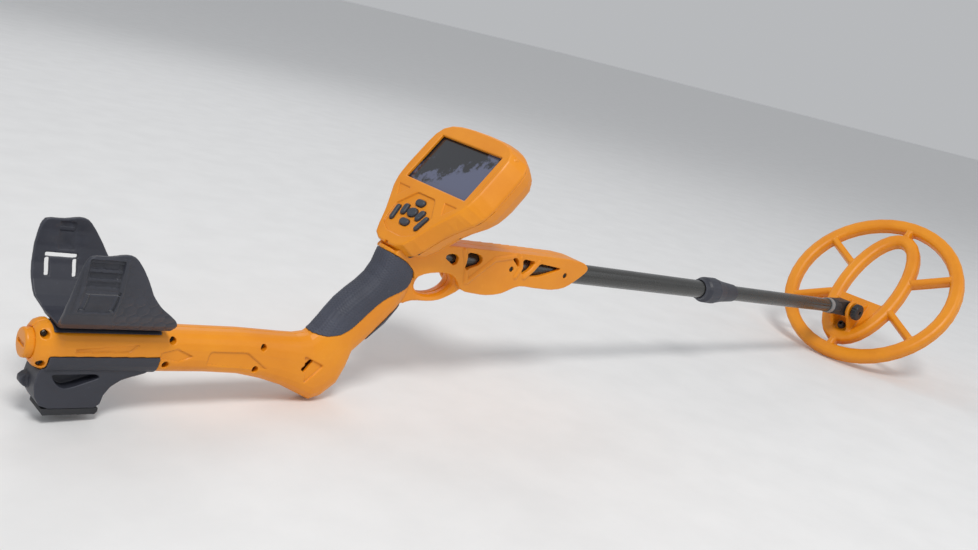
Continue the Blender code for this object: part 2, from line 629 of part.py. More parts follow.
head = head_solid("head")
cut(head, head_solid("head_in", 3.2, 0.0))
for x, y, z in HEAD_SCREWS:
    boss = hcyl("boss", x, y, 3.8, -60.0, BOSS_TOP)
    boolean(boss, head_solid("core", 0.8), "INTERSECT")
    join(head, boss)
front, rear = head, copy_of(head, "rear")
cut(front, box("below", 0, -20, SEAM - 50, 300, 300, 100, HEAD))
cut(rear, box("above", 0, -20, SEAM - GAP + 50, 300, 300, 100, HEAD))
groove = slab("groove", grow(full(MID), -1.7), SEAM - 1.6, SEAM + 0.9, HEAD)
cut(rear, cut(groove, slab("gi", grow(full(MID), -2.9), -30, 10, HEAD)))
seal = slab("seal", grow(full(MID), -1.85), SEAM - 1.45, SEAM - 0.03, HEAD)
neck_clear = smooth_prism("neck_clear", grow(NECK, GAP), NECK_HALF + GAP, 7.0, 4.5)
cut(seal, slab("si", grow(full(MID), -2.75), -30, 10, HEAD), copy_of(neck_clear, "c0"))
part(seal, "head_seal", material("seal_rubber", (0.03, 0.03, 0.032), 0.8))

# screen opening with a stepped pocket behind, side reliefs, keypad recess
w, h = SCREEN_W / 2, SCREEN_H / 2
window = loft("window", [[(sx * (w + g), sy * (h + g), z) for sx, sy in
                          ((-1, -1), (1, -1), (1, 1), (-1, 1))]
                         for z, g in ((-3.0, 0.0), (3.2, 0.0), (4.6, 1.4))], HEAD)
cut(front, window, box("lens_pocket", 0, 0, -3.0, SCREEN_W + 5, SCREEN_H + 5, 6.0, HEAD))
part(box("lens", 0, 0, -0.85, SCREEN_W + 4.4, SCREEN_H + 4.4, 1.5, HEAD), "screen_lens",
     material("screen_glass", (0.09, 0.10, 0.14), 0.08))
part(box("lcd", 0, 0, -3.6, SCREEN_W + 4.0, SCREEN_H + 4.0, 3.4, HEAD), "display_module",
     material("lcd_frame", (0.25, 0.26, 0.27), 0.4))
KEY_AREA = [(-13.0, -37.5), (13.0, -37.5), (27.0, -56.0), (23.5, -78.0), (10.0, -84.0),
            (-10.0, -84.0), (-23.5, -78.0), (-27.0, -56.0)]
KEY_FLOOR = 2.3
cut(front, slab("key_area", rounded(KEY_AREA, 2.0, 2), KEY_FLOOR, 8.0, HEAD))
for s in (-1, 1):
    cut(front, slab("tri", [(s * 26, -36.5), (s * 44, -36.5), (s * 34, -49.0)], 2.8, 8, HEAD))
    cut(front, loft("rim", [[(s * 49.5, -30, 5.2), (s * 51.0, -30, 3.1), (s * 52.5, -30, 5.2)],
                            [(s * 49.5, 28, 5.2), (s * 51.0, 28, 3.1), (s * 52.5, 28, 5.2)]],
                    HEAD))
cut(front, box("lip", 0, -97.0, 4.0, 5.0, 8.0, 8.0, HEAD))


def stadium(cx, cy, length, width, ang, n=6):
    pts, r = [], width / 2
    for side in (0, 1):
        for k in range(n + 1):
            a = -math.pi / 2 + math.pi * k / n + math.pi * side
            pts.append(((length / 2 - r) * (1 - 2 * side) + r * math.cos(a), r * math.sin(a)))
    ca, sa = math.cos(math.radians(ang)), math.sin(math.radians(ang))
    return [(cx + x * ca - y * sa, cy + x * sa + y * ca) for x, y in pts]


BUTTONS = {"up": stadium(0, -46.5, 12.0, 7.0, 0), "down": stadium(0, -69.5, 12.0, 7.0, 0),
           "left": stadium(-11.6, -58.0, 12.0, 6.2, 100), "right": stadium(11.6, -58.0, 12.0, 6.2, 80),
           "ok": circle(6.0, 20, 0.0, -58.0, 4.9),
           "side_left": stadium(-20.0, -64.5, 17.0, 4.4, 101),
           "side_right": stadium(20.0, -64.5, 17.0, 4.4, 79)}
BTN_TOP, BTN_BASE = 4.9, -0.4
for name, pts in BUTTONS.items():
    cx = sum(p[0] for p in pts) / len(pts)
    cy = sum(p[1] for p in pts) / len(pts)
    cut(front, slab("key_hole", grow(pts, 0.3), -4.0, 6.0, HEAD))
    btn = loft("btn", [[(x, y, BTN_BASE) for x, y in pts], [(x, y, BTN_TOP - 1.0) for x, y in pts],
                       [(x, y, BTN_TOP) for x, y in grow(pts, -0.9)]], HEAD)
    part(btn, "button_" + name, material("button_rubber", (0.07, 0.08, 0.095), 0.6),
         HEAD @ Vector((cx, cy, BTN_BASE)))
mat_pts = rounded(grow(KEY_AREA, -1.0), 2.0, 2)
part(slab("mat", mat_pts, -3.4, -2.0, HEAD), "keypad_mat",
     material("silicone", (0.35, 0.36, 0.37), 0.7))
board = slab("board", rounded(grow(full(MID), -6.5), 4.0, 1), -12.2, -10.6, HEAD)
for x, y, z in HEAD_SCREWS:
    cut(board, hcyl("notch", x, y, 4.4, -20, 0))
cut(board, copy_of(neck_clear, "c1"))
for chip in ((-20, 5, 24, 24), (18, 10, 16, 12), (0, -40, 20, 14)):
    join(board, box("chip", chip[0], chip[1], -13.2, chip[2], chip[3], 2.4, HEAD))
part(board, "main_board", material("pcb_green", (0.02, 0.14, 0.06), 0.4))
spk = lathe("spk", [(15.0, -37.5), (15.0, -34.5), (9.0, -30.5), (8.0, -30.5)],
            HEAD @ Matrix.Translation((0, 8, 0)), 20)
part(spk, "speaker", material("speaker_cone", (0.08, 0.08, 0.085), 0.6))
for x, y, z in HEAD_SCREWS:
    cut(rear, hcyl("cb", x, y, SCREW_HEAD_R + 0.2, -70, z), hcyl("cl", x, y, SCREW_R + 0.2, z - 3, 0))
    cut(front, hcyl("pilot", x, y, SCREW_R + 0.1, -20, BOSS_TOP - 1.6, 14))
for i, (x, y, z) in enumerate(HEAD_SCREWS):
    screw("head_screw_%d" % (i + 1), HEAD @ frame((x, y, z), (1, 0, 0), (0, 0, -1)),
          abs(z - BOSS_TOP) - 4.0)
cut(front, copy_of(neck_clear, "c2"), body_loft("handle_clear", -GAP, RIBS[16:]))
cut(rear, neck_clear, body_loft("handle_clear", -GAP, RIBS[16:]))
part(front, "head_front", ORANGE_MAT)
part(rear, "head_rear", ORANGE_MAT)

# ---- shaft -------------------------------------------------------------------
TUBE = material("carbon_tube", (0.035, 0.035, 0.034), 0.35)


def tube(name, r0, r1, s0, s1, mtx=SHAFT, n=28):
    return lathe(name, [(r1, s0), (r1, s1), (r0, s1), (r0, s0)], mtx, n, ring=True)


part(tube("ut", UPPER_R - UPPER_WALL, UPPER_R, UPPER_X[0], UPPER_X[1]), "upper_tube", TUBE)
part(tube("lt", LOWER_R - LOWER_WALL, LOWER_R, LOWER_X[0], LOWER_X[1]), "lower_tube", TUBE,
     (LOWER_X[0], 0, shaft_z(LOWER_X[0])))
part(tube("co", LOWER_R + 0.15, 12.6, 250.6, 262.0), "lock_collet",
     material("nylon", (0.55, 0.55, 0.53), 0.5))
c0, c1 = COLLAR_X
prof = [(UPPER_R + 0.25, c0 - 8.0), (12.6, c0 - 8.0), (13.2, c0), (16.0, c0 + 2.5),
        (16.4, c0 + 22.0), (15.6, c0 + 25.0), (13.4, c0 + 39.0),
        (11.2, c1 - 1.0), (10.8, c1), (9.8, c1), (9.8, 263.0),
        (12.9, 263.0), (12.9, 250.3), (UPPER_R + 0.25, 250.3)]
collar = lathe("collar", prof, SHAFT, 24, ring=True)
for i in range(10):
    a = 2 * math.pi * i / 10
    rot = SHAFT @ Matrix.Rotation(a, 4, "Z")
    cut(collar, box("notch", 16.6, 0, c0 + 13.0, 1.7, 2.6, 15.0, rot))
part(collar, "twist_collar", DARK_MAT, (c0, 0, shaft_z(c0)))
part(tube("fe", LOWER_R + 0.1, 11.0, 565.0, 573.6), "tube_ferrule",
     material("ferrule_grey", (0.30, 0.30, 0.31), 0.4))

fit = lathe("fit", [(7.4, 545.0), (8.1, 546.0), (8.1, 574.4), (11.2, 574.4), (11.8, 577.0),
                    (11.8, 590.0), (9.0, 600.0)], SHAFT, 24)
tongue_pts = [(595.0 - HINGE_X - 12, 10.0)] + [
    (11.6 * math.sin(a), 11.6 * math.cos(a)) for a in [math.radians(d) for d in range(0, 181, 20)]
] + [(595.0 - HINGE_X - 12, -10.0)]
hinge_frame = frame(HINGE, _sl, (-_sl.z, 0, _sl.x))
tongue = soften(prism("tongue", tongue_pts, -9.0, 9.0, hinge_frame), 1.0, 2, 50)
join(fit, tongue)
cut(fit, prism("bore", circle(3.3, 16), -20, 20, hinge_frame))
part(fit, "end_fitting", material("fitting_black", (0.035, 0.036, 0.038), 0.5))

# ---- coil hinge --------------------------------------------------------------
hinge_y = frame(HINGE, (1, 0, 0), (0, -1, 0))       # local Z toward the user's right
for s, side in ((-1, "left"), (1, "right")):
    z0, z1 = sorted((s * 9.15, s * 10.45))
    part(tube("w", 3.3, 9.8, z0, z1, hinge_y, 20), "washer_" + side, RUBBER)
EAR_Y = (10.7, 16.2)
bolt = lathe("bolt", [(5.2, -20.2), (6.8, -19.4), (6.8, -16.5), (3.0, -16.5), (3.0, 23.5)],
             hinge_y, 16)
part(bolt, "coil_bolt", material("bolt_black", (0.04, 0.04, 0.042), 0.4))
knob = lathe("knob", [(3.2, 16.5), (8.0, 16.5), (8.0, 18.0), (11.6, 19.2), (12.2, 20.2),
                      (12.2, 25.8), (11.2, 27.4), (7.0, 28.2), (3.0, 28.2), (3.0, 24.0),
                      (3.2, 24.0)], hinge_y, 24, ring=True)
for i in range(9):
    rot = hinge_y @ Matrix.Rotation(2 * math.pi * i / 9, 4, "Z")
    cut(knob, slab("flute", circle(2.5, 8, 13.6, 0), 17.6, 30.0, rot))
part(knob, "coil_knob", material("knob_black", (0.035, 0.037, 0.042), 0.45), HINGE)

# ---- coil --------------------------------------------------------------------
H = COIL_BAND / 2
TOP_SEC = [(-H, -5.5), (-H, 2.4), (-H + 1.8, 6.0), (-H + 5.4, 8.0), (H - 5.4, 8.0),
           (H - 1.8, 6.0), (H, 2.4), (H, -5.5)]
CHANNEL = [(6.2, -5.5), (6.2, 3.6), (-6.2, 3.6), (-6.2, -5.5)]
BASE_SEC = [(-H, -5.75), (H, -5.75), (H, -7.6), (H - 1.6, -9.2), (-H + 1.6, -9.2), (-H, -7.6)]
WIRE_SEC = [(-5.4, -5.2), (5.4, -5.2), (5.4, 2.8), (-5.4, 2.8)]
RING_C = COIL_R - H


def band(name, a, b, sec, n):
    """Closed sweep of a section along an ellipse; a forward, b sideways."""
    loops = []
    for i in range(n):
        t = 2 * math.pi * i / n
        nx, ny = b * math.cos(t), a * math.sin(t)
        k = math.hypot(nx, ny)
        loops.append([(a * math.cos(t) + nx / k * d, b * math.sin(t) + ny / k * d, z)
                      for d, z in sec])
    return loft(name, loops, COIL, closed=True)


def spokes(sec, width):
    """Two short end spokes and four long ones between loop and ring."""
    k, out = width / COIL_BAND, []
    zm = (min(z for _, z in sec) + max(z for _, z in sec)) / 2
    for ang in (0, 180, 90 - SPOKE_ANGLE, 90 + SPOKE_ANGLE, 270 - SPOKE_ANGLE,
                270 + SPOKE_ANGLE):
        t = math.radians(ang)
        r0 = 1.0 / math.hypot(math.cos(t) / (ELL_A - 1.8), math.sin(t) / (ELL_B - 1.8))
        r1 = RING_C - H + 1.8
        u, v = Vector((math.cos(t), math.sin(t))), Vector((-math.sin(t), math.cos(t)))
        loops = [[(u.x * r + v.x * d * k, u.y * r + v.y * d * k, zm + (z - zm) * 0.97)
                  for d, z in sec] for r in (r0, r1)]
        out.append(loft("spoke", loops, COIL))
    return out


def coil_body(name, sec, channel, z0, z1):
    """Ring, inner loop, spokes and rear plate; the bands carry a winding channel."""
    ob = band(name, RING_C, RING_C, sec + channel, 44)
    join(ob, band("loop", ELL_A - H, ELL_B - H, sec + channel, 32), *spokes(sec, SPOKE_W))
    fill = 2 * H - 1.8
    plate = slab("plate", circle(ELL_A - fill, 32, 0, 0, ELL_B - fill), z0, z1, COIL)
    boolean(plate, box("rear", -24 - 60, 0, 0, 120, 120, 30, COIL), "INTERSECT")
    return join(ob, plate)


top = coil_body("coil_top", TOP_SEC, CHANNEL, -5.35, 4.6)
EAR = [(-92.0, 3.95), (-84.0, 12.0), (-78.5, 28.0)] + [
    (-COIL_BACK + 13.6 * math.cos(a), COIL_DROP + 13.6 * math.sin(a))
    for a in [math.radians(d) for d in range(180, -1, -20)]] + [(-48.0, 20.0), (-30.0, 3.95)]
for s in (-1, 1):
    ear = prism("ear", EAR, s * EAR_Y[0], s * EAR_Y[1], COIL)
    join(top, soften(ear, 0.8, 1, 50))
cut(top, prism("pivot", circle(3.3, 16, -COIL_BACK, COIL_DROP), -30, 30, COIL))
cut(top, slab("gland_hole", circle(4.6, 20, -80.0, 0), 0.5, 20, COIL))
part(top, "coil_top", ORANGE_MAT, HINGE)
part(coil_body("coil_base", BASE_SEC, [], -9.05, -5.9), "coil_base",
     material("orange_base", (0.72, 0.24, 0.012), 0.5))
COPPER = material("copper_winding", (0.72, 0.32, 0.13), 0.4, 1.0)
part(band("tx", RING_C, RING_C, WIRE_SEC, 44), "transmit_winding", COPPER)
part(band("rx", ELL_A - H, ELL_B - H, WIRE_SEC, 32), "receive_winding", COPPER)
gland = lathe("gland", [(4.3, 0.8), (4.3, 5.0), (5.6, 5.0), (5.6, 9.0), (4.0, 13.5), (2.4, 13.5),
                        (2.4, 6.0)], COIL @ Matrix.Translation((-80.0, 0, 0)), 20)
part(gland, "cable_gland", material("gland_black", (0.03, 0.03, 0.032), 0.55))


# ---- stand everything on Z = 0 ----------------------------------------------
def lowest(obs, ang):
    s, c = math.sin(ang), math.cos(ang)
    return min(-v.co.x * s + v.co.z * c for ob in obs for v in ob.data.vertices)


rear_set = [bpy.data.objects[n] for n in ("body_right", "body_left", "foot_pad")]
front_set = [bpy.data.objects[n] for n in ("coil_base", "coil_top")]
lo, hi = 0.0, math.radians(10.0)
for _ in range(60):
    mid = (lo + hi) / 2
    if lowest(front_set, mid) > lowest(rear_set, mid):
        lo = mid
    else:
        hi = mid
turn = Matrix.Rotation(lo, 4, "Y")
pts = [turn @ v.co for ob, _ in FINAL for v in ob.data.vertices]
xs, zs = [p.x for p in pts], [p.z for p in pts]
place = Matrix.Translation((-(min(xs) + max(xs)) / 2, 0, -min(zs))) @ turn
for ob, origin in FINAL:
    ob.data.transform(place)
    if origin is not None:
        o = place @ (origin * MM)
        ob.data.transform(Matrix.Translation(-o))
        ob.location = o
    for poly in ob.data.polygons:
        poly.use_smooth = True
    ob.data.update()
for ob in list(CUTTERS.objects):
    bpy.data.objects.remove(ob, do_unlink=True)
bpy.context.view_layer.update()
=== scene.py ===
import json
import math

import bmesh
import bpy
import numpy as np
from mathutils import Matrix, Vector

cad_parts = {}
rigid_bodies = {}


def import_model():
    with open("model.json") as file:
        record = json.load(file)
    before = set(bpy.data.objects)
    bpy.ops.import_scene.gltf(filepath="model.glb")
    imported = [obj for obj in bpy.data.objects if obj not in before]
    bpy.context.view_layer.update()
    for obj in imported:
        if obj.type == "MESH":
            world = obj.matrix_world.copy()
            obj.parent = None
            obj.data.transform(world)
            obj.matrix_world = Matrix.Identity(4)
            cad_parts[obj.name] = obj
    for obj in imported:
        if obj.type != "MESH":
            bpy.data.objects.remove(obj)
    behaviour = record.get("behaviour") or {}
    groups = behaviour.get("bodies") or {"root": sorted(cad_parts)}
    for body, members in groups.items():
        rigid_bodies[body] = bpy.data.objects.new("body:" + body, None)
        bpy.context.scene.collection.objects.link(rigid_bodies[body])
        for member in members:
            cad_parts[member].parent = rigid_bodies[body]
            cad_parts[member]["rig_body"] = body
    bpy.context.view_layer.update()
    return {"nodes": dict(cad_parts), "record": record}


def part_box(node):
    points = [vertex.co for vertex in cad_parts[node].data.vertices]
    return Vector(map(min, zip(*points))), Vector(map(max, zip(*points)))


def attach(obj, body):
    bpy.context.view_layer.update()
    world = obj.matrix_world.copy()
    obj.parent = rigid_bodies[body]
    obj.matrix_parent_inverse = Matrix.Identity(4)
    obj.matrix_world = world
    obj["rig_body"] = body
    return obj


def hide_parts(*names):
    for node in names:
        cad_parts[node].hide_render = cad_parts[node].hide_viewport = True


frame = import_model()
NODES = frame["nodes"]
MM = 0.001

# ---- camera ------------------------------------------------------------------
CAM_PLACE = (-0.917627, -0.703530, 0.354513)
CAM_TURN = (76.17826, -13.57702, -41.15524)             # degrees about X, Y and Z
SENSOR_WIDTH = 36.0                                      # mm
FOCAL_LENGTH = SENSOR_WIDTH * 1.03599                    # mm

cam_data = bpy.data.cameras.new("camera")
cam_data.sensor_width = SENSOR_WIDTH
cam_data.lens = FOCAL_LENGTH
cam_data.clip_start = 0.01
cam_data.clip_end = 100.0
cam = bpy.data.objects.new("camera", cam_data)
cam.location = CAM_PLACE
cam.rotation_euler = [math.radians(turn) for turn in CAM_TURN]
bpy.context.scene.collection.objects.link(cam)
bpy.context.scene.camera = cam
bpy.context.scene.view_settings.view_transform = "Standard"


# ---- materials ---------------------------------------------------------------
def srgb(r, g, b):
    def lin(c):
        c /= 255.0
        return c / 12.92 if c <= 0.04045 else ((c + 0.055) / 1.055) ** 2.4
    return (lin(r), lin(g), lin(b), 1.0)


class Graph:
    """Thin helper for building a node tree."""

    def __init__(self, name):
        self.mat = bpy.data.materials.new(name)
        self.mat.use_nodes = True
        self.tree = self.mat.node_tree
        self.bsdf = self.tree.nodes["Principled BSDF"]
        self.coord = self.add("ShaderNodeTexCoord").outputs["Object"]

    def add(self, kind, **values):
        node = self.tree.nodes.new(kind)
        for key, val in values.items():
            if hasattr(node, key):
                setattr(node, key, val)
            else:
                node.inputs[key.replace("_", " ")].default_value = val
        return node

    def link(self, out, socket):
        self.tree.links.new(out, socket)

    def noise(self, scale, detail=3.0, rough=0.55):
        n = self.add("ShaderNodeTexNoise", Scale=scale, Detail=detail, Roughness=rough)
        self.link(self.coord, n.inputs["Vector"])
        return n.outputs["Fac"]

    def ramp(self, src, lo, hi, a, b):
        n = self.add("ShaderNodeMapRange")
        for key, val in (("From Min", lo), ("From Max", hi), ("To Min", a), ("To Max", b)):
            n.inputs[key].default_value = val
        self.link(src, n.inputs["Value"])
        return n.outputs["Result"]

    def mix(self, fac, a, b):
        n = self.add("ShaderNodeMix", data_type="RGBA")
        self.link(fac, n.inputs["Factor"])
        for socket, val in ((n.inputs[6], a), (n.inputs[7], b)):
            if isinstance(val, tuple):
                socket.default_value = val
            else:
                self.link(val, socket)
        return n.outputs[2]

    def bump(self, height, strength, distance, normal=None):
        n = self.add("ShaderNodeBump")
        n.inputs["Strength"].default_value = strength
        n.inputs["Distance"].default_value = distance
        self.link(height, n.inputs["Height"])
        if normal is not None:
            self.link(normal, n.inputs["Normal"])
        return n.outputs["Normal"]


PAINTED_CREVICE_SHADE = 0.40        # painted shade: brightness left in the colour at the bottom of a crevice
GRAIN_DEPTH = 0.12 * MM
RIPPLE_DEPTH = 0.3 * MM


def moulded(name, base, dark, wear_and_highlight_tint, rough, grain=1500.0, bump=0.25, edge_wear_and_highlight=0.35):
    """Moulded surface: mottled colour, edges lightened for wear and as a painted highlight, painted
    shade in crevices, fine grain, uneven gloss.
    """
    g = Graph(name)
    blotch = g.ramp(g.noise(16.0, 4.0), 0.35, 0.65, 0.0, 1.0)
    color = g.mix(blotch, base, dark)
    speck = g.ramp(g.noise(240.0, 5.0, 0.7), 0.60, 0.74, 0.0, 0.22)
    color = g.mix(speck, color, wear_and_highlight_tint)
    point = g.add("ShaderNodeNewGeometry").outputs["Pointiness"]
    # convex edges lightened: partly wear, partly a painted highlight where edges catch the light
    color = g.mix(g.ramp(point, 0.515, 0.60, 0.0, edge_wear_and_highlight), color, wear_and_highlight_tint)
    # painted shade: crevices and concave spots are darkened towards a dim copy of the dark colour
    shade = tuple(c * PAINTED_CREVICE_SHADE for c in dark[:3]) + (1.0,)
    color = g.mix(g.ramp(point, 0.42, 0.492, 0.75, 0.0), color, shade)
    g.link(color, g.bsdf.inputs["Base Color"])
    gloss = g.ramp(g.noise(38.0, 5.0), 0.3, 0.7, rough - 0.06, rough + 0.07)
    g.link(gloss, g.bsdf.inputs["Roughness"])
    fine = g.bump(g.noise(grain, 2.0), bump, GRAIN_DEPTH)
    ripple = g.bump(g.noise(90.0, 3.0), bump * 0.4, RIPPLE_DEPTH, fine)
    g.link(ripple, g.bsdf.inputs["Normal"])
    return g.mat


def metal(name, base, dark, rough, stretch=(1.0, 1.0, 60.0)):
    """Plated metal with fine drawn lines."""
    g = Graph(name)
    mapping = g.add("ShaderNodeMapping")
    mapping.inputs["Scale"].default_value = stretch
    g.link(g.coord, mapping.inputs["Vector"])
    lines = g.add("ShaderNodeTexNoise", Scale=90.0, Detail=4.0)
    g.link(mapping.outputs["Vector"], lines.inputs["Vector"])
    streak = lines.outputs["Fac"]
    color = g.mix(g.ramp(streak, 0.3, 0.7, 0.0, 1.0), base, dark)
    g.link(color, g.bsdf.inputs["Base Color"])
    gloss = g.ramp(streak, 0.3, 0.7, rough - 0.08, rough + 0.1)
    g.link(gloss, g.bsdf.inputs["Roughness"])
    g.link(g.bump(streak, 0.15, 0.1 * MM), g.bsdf.inputs["Normal"])
    g.bsdf.inputs["Metallic"].default_value = 1.0
    return g.mat


def woven_tube(name, base, light, rough):
    """Dark composite tube: faint crossed bands under a clear satin coat."""
    g = Graph(name)
    bands = []
    for direction in ("X", "DIAGONAL"):
        w = g.add("ShaderNodeTexWave", bands_direction=direction, Scale=120.0, Distortion=1.2)
        g.link(g.coord, w.inputs["Vector"])
        bands.append(w.outputs["Fac"])
    both = g.add("ShaderNodeMath", operation="MULTIPLY")
    g.link(bands[0], both.inputs[0])
    g.link(bands[1], both.inputs[1])
    weave = both.outputs[0]
    color = g.mix(g.ramp(weave, 0.0, 1.0, 0.0, 0.5), base, light)
    g.link(color, g.bsdf.inputs["Base Color"])
    gloss = g.ramp(g.noise(60.0, 4.0), 0.3, 0.7, rough - 0.05, rough + 0.08)
    g.link(gloss, g.bsdf.inputs["Roughness"])
    g.link(g.bump(weave, 0.08, 0.08 * MM), g.bsdf.inputs["Normal"])
    g.bsdf.inputs["Coat Weight"].default_value = 0.35
    g.bsdf.inputs["Coat Roughness"].default_value = 0.18
    return g.mat


def screen_glass(name):
    """Display window under clear gloss: a painted reflection makes it blue-grey, with a ragged edge
    to a darker patch of bare glass at one corner.
    """
    g = Graph(name)
    axes = g.add("ShaderNodeSeparateXYZ")
    g.link(g.coord, axes.inputs[0])
    lo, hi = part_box("screen_lens")
    side = g.ramp(axes.outputs["Y"], lo.y, hi.y, -0.5, 0.5)
    rise = g.ramp(axes.outputs["Z"], lo.z, hi.z, -0.5, 0.5)
    total = g.add("ShaderNodeMath", operation="ADD")
    g.link(side, total.inputs[0])
    g.link(rise, total.inputs[1])
    rough_edge = g.add("ShaderNodeMath", operation="ADD")
    g.link(total.outputs[0], rough_edge.inputs[0])
    g.link(g.ramp(g.noise(60.0, 6.0, 0.65), 0.3, 0.7, -0.55, 0.55), rough_edge.inputs[1])
    # painted reflection: blue-grey over most of the window, fading across a ragged edge to the dark
    # glass
    painted_reflection_fade = g.ramp(rough_edge.outputs[0], -0.10, 0.12, 0.0, 1.0)
    color = g.mix(painted_reflection_fade, srgb(92, 97, 122), srgb(38, 40, 46))
    g.link(color, g.bsdf.inputs["Base Color"])
    g.link(g.ramp(g.noise(20.0), 0.3, 0.7, 0.05, 0.11), g.bsdf.inputs["Roughness"])
    g.bsdf.inputs["Coat Weight"].default_value = 0.6
    g.bsdf.inputs["Coat Roughness"].default_value = 0.03
    return g.mat


ORANGE = moulded("orange_plastic", srgb(238, 150, 14), srgb(228, 138, 8), srgb(248, 176, 56),
                 0.42, edge_wear_and_highlight=0.22)
DARK = moulded("dark_plastic", srgb(56, 58, 68), srgb(46, 48, 57), srgb(88, 92, 108), 0.46,
               grain=2200.0, bump=0.35)
GRIP = moulded("grip_rubber", srgb(70, 74, 88), srgb(59, 62, 74), srgb(98, 102, 116), 0.62,
               grain=2600.0, bump=0.30)
RUBBER = moulded("black_rubber", srgb(50, 51, 55), srgb(40, 41, 44), srgb(80, 80, 84), 0.74,
                 grain=2400.0, bump=0.4)
KEY = moulded("key_rubber", srgb(64, 70, 80), srgb(55, 60, 70), srgb(104, 110, 120), 0.52,
              grain=2400.0, bump=0.2)
FITTING = moulded("fitting_nylon", srgb(46, 47, 50), srgb(38, 39, 42), srgb(82, 84, 90), 0.48,
                  grain=2200.0, bump=0.3)
NYLON = moulded("natural_nylon", srgb(205, 202, 192), srgb(190, 187, 178), srgb(225, 222, 214),
                0.5)
FERRULE = moulded("ferrule_grey", srgb(126, 127, 128), srgb(108, 109, 110), srgb(170, 171, 172),
                  0.4)
BOARD = moulded("board_mask", srgb(28, 92, 52), srgb(20, 74, 42), srgb(70, 130, 90), 0.38)
WRAP = moulded("cell_wrap", srgb(42, 88, 62), srgb(34, 74, 52), srgb(90, 130, 105), 0.32)
STEEL = metal("screw_steel", srgb(84, 80, 74), srgb(58, 55, 51), 0.36)
SPRING = metal("spring_steel", srgb(190, 190, 184), srgb(160, 160, 154), 0.28)
COPPER = metal("copper_wire", srgb(196, 118, 66), srgb(158, 84, 44), 0.34, (1.0, 1.0, 1.0))
TUBE = woven_tube("composite_tube", srgb(36, 36, 34), srgb(58, 58, 55), 0.26)
GLASS = screen_glass("screen_window")

LOOK = {
    "orange_shell": ORANGE, "orange_base": ORANGE, "dark_plastic": DARK, "grip_rubber": GRIP,
    "screw_steel": STEEL, "cell_wrap": WRAP, "contact_steel": SPRING, "foot_rubber": RUBBER,
    "seal_rubber": RUBBER, "screen_glass": GLASS, "lcd_frame": FITTING, "button_rubber": KEY,
    "silicone": NYLON, "circuit_board": BOARD, "speaker_cone": FITTING, "carbon_tube": TUBE,
    "nylon": NYLON, "ferrule_grey": FERRULE, "black_fitting": FITTING,
    "copper_winding": COPPER}
SLOT = {s["node"]: s["material_slot"] for s in frame["record"]["subparts"]}


def paint(ob, mat):
    ob.data.materials.clear()
    ob.data.materials.append(mat)


for node, ob in NODES.items():
    paint(ob, LOOK[SLOT[node]])


# ---- fine surfaces -----------------------------------------------------------
COARSE = 1.0


def bake(ob):
    """Apply an object's modifiers to its mesh."""
    deps = bpy.context.evaluated_depsgraph_get()
    mesh = bpy.data.meshes.new_from_object(ob.evaluated_get(deps))
    ob.modifiers.clear()
    ob.data = mesh


def refined(node, voxel, rounds, keep=0.4, shape=None, plugs=()):
    """Finely remeshed copy of a CAD piece with rounded edges, which stands for it.
    voxel is in mm, and keep is the share of faces left at the end. shape sculpts the copy.
    plugs are (centre, radius) balls that close holes which break through the CAD skin."""
    src = NODES[node]
    bm = bmesh.new()
    bm.from_mesh(src.data)
    for centre, radius in plugs:
        bmesh.ops.create_icosphere(bm, subdivisions=3, radius=radius,
                                   matrix=Matrix.Translation(centre))
    mesh = bpy.data.meshes.new(node + "_skin")
    bm.to_mesh(mesh)
    bm.free()
    ob = bpy.data.objects.new(node + "_skin", mesh)
    bpy.context.scene.collection.objects.link(ob)
    remesh = ob.modifiers.new("remesh", "REMESH")
    remesh.mode = "VOXEL"
    remesh.voxel_size = voxel * COARSE * MM
    remesh.adaptivity = 0.0
    smooth = ob.modifiers.new("smooth", "SMOOTH")
    smooth.factor = 0.5
    smooth.iterations = rounds
    bake(ob)
    if shape is not None:
        shape(ob)
    ob.modifiers.new("decimate", "DECIMATE").ratio = keep
    bake(ob)
    ob.data.shade_smooth()
    paint(ob, LOOK[SLOT[node]])
    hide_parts(node)
    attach(ob, src["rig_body"])


def coords(ob):
    """Places and normals of a mesh's vertices, as arrays."""
    n = len(ob.data.vertices)
    co, no = np.empty(n * 3, np.float32), np.empty(n * 3, np.float32)
    ob.data.vertices.foreach_get("co", co)
    ob.data.vertices.foreach_get("normal", no)
    return co.reshape(-1, 3).astype(float), no.reshape(-1, 3).astype(float)


def move(ob, co):
    ob.data.vertices.foreach_set("co", co.astype(np.float32).ravel())
    ob.data.update()


def hex_distance(u, v, pitch):
    """Distance to the nearest centre of a hexagonal lattice."""
    row = pitch * math.sqrt(3.0) / 2.0
    best = np.full(u.shape, 1e9)
    base = np.floor(v / row)
    for step in (-1, 0, 1, 2):
        rank = base + step
        shift = np.where(np.mod(rank, 2) > 0.5, pitch / 2.0, 0.0)
        du = u - shift
        du = du - pitch * np.round(du / pitch)
        best = np.minimum(best, np.hypot(du, v - rank * row))
    return best


# handle centre line as X and Z in metres, lower end to upper end
HANDLE = np.array([(-0.4235, 0.040), (-0.4040, 0.0475), (-0.3965, 0.0575), (-0.3910, 0.0695),
                   (-0.3784, 0.0815), (-0.3664, 0.0918), (-0.3573, 0.1028), (-0.3506, 0.1150),
                   (-0.3480, 0.1283), (-0.3460, 0.1480)])
HANDLE_RADIUS = 17.0 * MM


def along_handle(co):
    """Distance along the handle and signed offset in front of its centre line."""
    best = np.full(len(co), 1e9)
    run, off = np.zeros(len(co)), np.zeros(len(co))
    total = 0.0
    for a, b in zip(HANDLE[:-1], HANDLE[1:]):
        d = b - a
        size = np.hypot(*d)
        rel = co[:, [0, 2]] - a
        t = np.clip(rel @ d / size ** 2, 0.0, 1.0)
        gap = rel - t[:, None] * d
        dist = np.hypot(gap[:, 0], gap[:, 1])
        near = dist < best
        side = (gap[:, 0] * d[1] - gap[:, 1] * d[0]) / size
        best = np.where(near, dist, best)
        run = np.where(near, total + t * size, run)
        off = np.where(near, side, off)
        total += size
    return run, off


